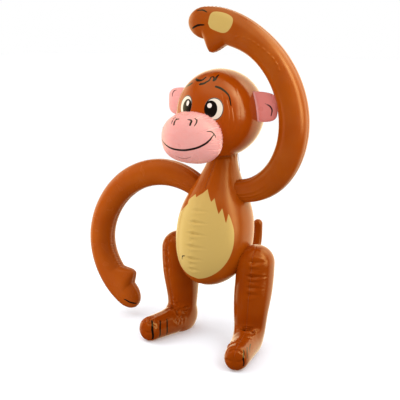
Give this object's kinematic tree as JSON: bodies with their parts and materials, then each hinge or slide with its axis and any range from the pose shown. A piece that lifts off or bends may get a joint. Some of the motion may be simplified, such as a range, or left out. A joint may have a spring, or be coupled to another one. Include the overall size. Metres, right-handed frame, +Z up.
{
  "type": "inflatable toy monkey",
  "caption": "Glossy blown-up vinyl monkey standing on boot-shaped feet, one arm curled over its head, the other curled down at its side, with a pillow-like pink muzzle and a thin upturned tail.",
  "frame": {"origin": "on the ground, under the middle of the figure's outline box", "axes": "+Z up, -Y the way the monkey faces, +X its left side"},
  "size_m": [0.4592, 0.2682, 0.593],
  "materials": {
    "brown_vinyl": "glossy chestnut brown vinyl sheet, printed with a tan belly patch, a tan palm, eyes, brows and black lines",
    "pink_vinyl": "glossy pink vinyl sheet, printed with nostrils, a mouth and ear lines",
    "valve_vinyl": "clear soft vinyl, slightly cloudy"
  },
  "bodies": {
    "root": {"head": "brown_vinyl", "muzzle": "pink_vinyl", "ear_left": "pink_vinyl", "ear_right": "pink_vinyl", "torso": "brown_vinyl", "arm_left": "brown_vinyl", "arm_right": "brown_vinyl", "leg_left": "brown_vinyl", "leg_right": "brown_vinyl", "tail": "brown_vinyl", "valve": "valve_vinyl"}
  },
  "joints": []
}
